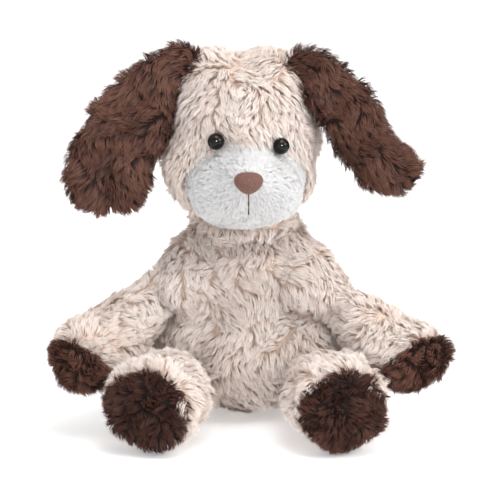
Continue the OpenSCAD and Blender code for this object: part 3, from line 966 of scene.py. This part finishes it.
def limb(start, way, length, root_r, end_r, end_from, power, droop, broad=1.0):
    """A limb's skin: round where it joins, wider at its end, sagging by droop in the middle."""
    t = np.sin(np.linspace(0, math.radians(86), 34))
    u = unit(np.cross(way, vec(0, 0, 1)))
    v = np.cross(way, u)
    u *= broad
    full = root_r + (end_r - root_r) * smooth((t - 0.06) * 2)
    r = full * (1 - np.clip((t - end_from) / (1 - end_from), 0, 1) ** power) ** (1 / power)
    cos, sin = turns(44)
    circle = cos * u + sin * v
    rings = []
    for turn in (25, 45, 65):
        c, s = math.cos(math.radians(turn)), math.sin(math.radians(turn))
        rings.append(start - root_r * c * way + root_r * s * circle)
    for k in range(len(t)):
        sag = vec(0, 0, -1) * droop * math.sin(math.pi * t[k])
        rings.append(start + t[k] * length * way + sag + max(r[k], 0.5 * MM) * circle)
    return loft(rings)


def grow_limb(side, kind, skin, way, along, pad_depth, pad_name, pad_pile, seed, pad_length):
    """The cover's pile and the pad's pile on one limb, whose skin starts at skin.root.
    along is how much the cover's nap runs down the limb; pad_depth is above 0 on the pad."""
    start = skin.root
    end = start + way * skin.length
    body = f"{side}_{kind}"
    SKINS[body] = skin

    def outward(p, at):
        return (p - at) - ((p - at) @ way)[:, None] * way

    flow = combed(lambda p: along * way + vec(0, 0, -0.35) + 8 * outward(p, start), 0.38, 46 * MM, seed)
    pad_flow = combed(lambda p: outward(p, end) + vec(0, 0, -6 * MM), 0.012, 26 * MM, seed + 1)
    add_skin(f"{body}_pelt", skin, body, CREAM_BACK, part=lambda p: pad_depth(p) <= 0)
    add_skin(f"{side}_{pad_name}_pelt", skin, body, BROWN_BACK, part=lambda p: pad_depth(p) > 0)
    inner = lambda p: ((p - start) @ way) < -0.72 * np.linalg.norm(p - start, axis=1)
    grow(f"{body}_pile", skin, body, CREAM, 1.5, 9.5 * MM, flow, 200 + seed, lift=(4, 18), swirl=30,
         clump=10 * MM, lock=3 * MM, shade=0.7, keep=lambda p, rng: (pad_depth(p) < 1.0 * MM) & ~inner(p))
    grow(f"{side}_{pad_name}_pile", skin, body, pad_pile, 1.5, pad_length, pad_flow, 300 + seed,
         lift=(36, 74), swirl=60, clump=8 * MM, keep=lambda p, rng: pad_depth(p) > -0.5 * MM)


ARM_LENGTH, LEG_LENGTH = 109 * MM, 83 * MM
LEG_SPLAY = math.radians(18)
PAW_AT = {side: mm(s * 115, -38, 64.5 + 1.5 * s) for side, s in SIDES.items()}
for side, s in SIDES.items():
    start = shoulder[side]
    way = unit(PAW_AT[side] - start)
    skin = Skin([limb(start, way, ARM_LENGTH - PELT, 19.5 * MM - PELT, 28 * MM - PELT, 0.68, 2.2,
                      (8 + 4 * s) * MM)])
    skin.root, skin.length = start, ARM_LENGTH
    skin.lumps(1.3 * MM, 36 * MM, 41 + s)
    normal = unit(vec(s * 0.45, -0.62, -0.64))
    seam = start + 0.80 * ARM_LENGTH * way
    depth = lambda p, seam=seam, normal=normal: (p - seam) @ normal
    skin.push(-1.5 * MM * np.exp(-(depth(skin.verts) / (3 * MM)) ** 2))
    grow_limb(side, "arm", skin, way, -0.5, depth, "paw", PAW, 51 + s, 8.5 * MM)

for side, s in SIDES.items():
    way = vec(s * math.sin(LEG_SPLAY), -math.cos(LEG_SPLAY), 0)
    root = hip[side] + mm(s * 3.3, 0, -2)
    skin = Skin([limb(root, way, LEG_LENGTH - PELT, 23 * MM - PELT, 35.5 * MM - PELT, 0.78, 2.6, 0, 1.03)])
    skin.root, skin.length = root, LEG_LENGTH
    skin.lumps(1.2 * MM, 36 * MM, 61 + s)
    normal = unit(way + vec(-0.09, 0, -0.24))
    seam = root + 0.81 * LEG_LENGTH * way
    depth = lambda p, seam=seam, normal=normal: (p - seam) @ normal
    skin.push(-1.5 * MM * np.exp(-(depth(skin.verts) / (3 * MM)) ** 2))
    skin.sit(1.8 * MM)
    # the soles get the darker pile, which is painted shade
    grow_limb(side, "leg", skin, way, -0.45, depth, "foot", SHADED_SOLE_BROWN, 71 + s, 8 * MM)

# ---- Tail ------------------------------------------------------------------------------

tilt = math.radians(34)
way = vec(0, math.cos(tilt), math.sin(tilt))
tail = Skin([limb(tail_root, way, 32 * MM - PELT, 12 * MM - PELT, 10 * MM - PELT, 0.35, 2.1, 0)])
SKINS["tail"] = tail
add_skin("tail_pelt", tail, "tail", BROWN_BACK)
grow("tail_pile", tail, "tail", BROWN, 1.2, 10 * MM, combed(lambda p: way + 0 * p, 0.2, 30 * MM, 81), 181)

# ---- Floor, lights and camera ----------------------------------------------------------

TARGET = Vector((0, 0, 0.127))        # what the camera and the lights look at
CAMERA_AWAY = 1.5
CAMERA_RISE = math.radians(12.5)
FLOOR_HALF = 60.0


def look_at_target(ob, place):
    ob.location = place
    ob.rotation_euler = (TARGET - Vector(place)).to_track_quat("-Z", "Y").to_euler()


def add_floor():
    """A plain white floor, large enough to be the backdrop too."""
    mat, _, shader = new_material("studio_floor", 0.9)
    shader.inputs["Base Color"].default_value = (0.94, 0.94, 0.94, 1)
    shader.inputs["Emission Color"].default_value = (1, 1, 1, 1)
    shader.inputs["Emission Strength"].default_value = 0.30
    corners = [(x * FLOOR_HALF, y * FLOOR_HALF, 0) for x, y in ((-1, -1), (1, -1), (1, 1), (-1, 1))]
    mesh = bpy.data.meshes.new("studio_floor")
    mesh.from_pydata(corners, [], [(0, 1, 2, 3)])
    mesh.materials.append(mat)
    ob = bpy.data.objects.new("studio_floor", mesh)
    bpy.context.scene.collection.objects.link(ob)


def add_light(name, place, size, power):
    """A round soft light."""
    light = bpy.data.lights.new(name, "AREA")
    light.shape = "DISK"
    light.size = size
    light.energy = power
    ob = bpy.data.objects.new(name, light)
    bpy.context.scene.collection.objects.link(ob)
    look_at_target(ob, place)
    return ob


add_floor()
add_light("key", (1.2, -0.6, 0.9), 0.8, 10)
add_light("fill", (-0.9, -1.5, 0.5), 1.2, 2)
add_light("catch", (0.24, -1.42, 0.66), 0.20, 30).visible_diffuse = False     # only the eyes' highlights
add_light("top", (0.25, -0.45, 1.75), 1.1, 15)

world = bpy.data.worlds.new("studio")
world.use_nodes = True
world.node_tree.nodes["Background"].inputs["Color"].default_value = (1, 1, 1, 1)
world.node_tree.nodes["Background"].inputs["Strength"].default_value = 0.86
bpy.context.scene.world = world
bpy.context.scene.view_settings.view_transform = "Standard"

camera = bpy.data.cameras.new("camera")
camera.lens = 148
camera.clip_start = 0.05
camera_ob = bpy.data.objects.new("camera", camera)
bpy.context.scene.collection.objects.link(camera_ob)
look_at_target(camera_ob, TARGET + Vector((0, -CAMERA_AWAY * math.cos(CAMERA_RISE),
                                           CAMERA_AWAY * math.sin(CAMERA_RISE))))
bpy.context.scene.camera = camera_ob

# ---- Hiding the CAD nodes that the pieces stand for; stuffing, seat bag and threads ------

STANDS_FOR = {
    "body_pelt": ("body_cover", "cream_pile"), "neck_pelt": ("neck_cover", "cream_pile"),
    "head_pelt": ("head_cover", "cream_pile"), "muzzle_pelt": ("muzzle_patch", "white_pile"),
    "tail_pelt": ("tail_cover", "brown_pile"),
}
for side in SIDES:
    STANDS_FOR[f"{side}_ear_pelt"] = (f"{side}_ear_cover", "brown_pile")
    STANDS_FOR[f"{side}_arm_pelt"] = (f"{side}_arm_cover", "cream_pile")
    STANDS_FOR[f"{side}_leg_pelt"] = (f"{side}_leg_cover", "cream_pile")
    STANDS_FOR[f"{side}_paw_pelt"] = (f"{side}_paw_pad", "brown_pile")
    STANDS_FOR[f"{side}_foot_pelt"] = (f"{side}_foot_pad", "brown_pile")
for name, (node, slot_name) in STANDS_FOR.items():
    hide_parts(node)

for k, (name, skin) in enumerate(SKINS.items()):
    kind = "wadding" if "ear" in name else "stuffing"
    body = {"body": "torso"}.get(name, name)
    add_fill(f"{name}_fill", skin, body, f"{name}_{kind}", 500 + k)

bag_low, bag_high = node_box("seat_pellet_bag")
bag = Skin([egg((bag_low + bag_high) / 2, (bag_high - bag_low) / 2 - 2 * MM, 2.6)])
bag.lumps(0.9 * MM, 14 * MM, 91)
bag_ob = add_skin("seat_bag", bag, "torso", BAG)
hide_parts("seat_pellet_bag")

for name, node in frame["nodes"].items():
    for kind, material in (("stitches", SEAM_THREAD), ("washer", WASHER)):
        if name.endswith(kind):
            node.data.materials.clear()
            node.data.materials.append(material)
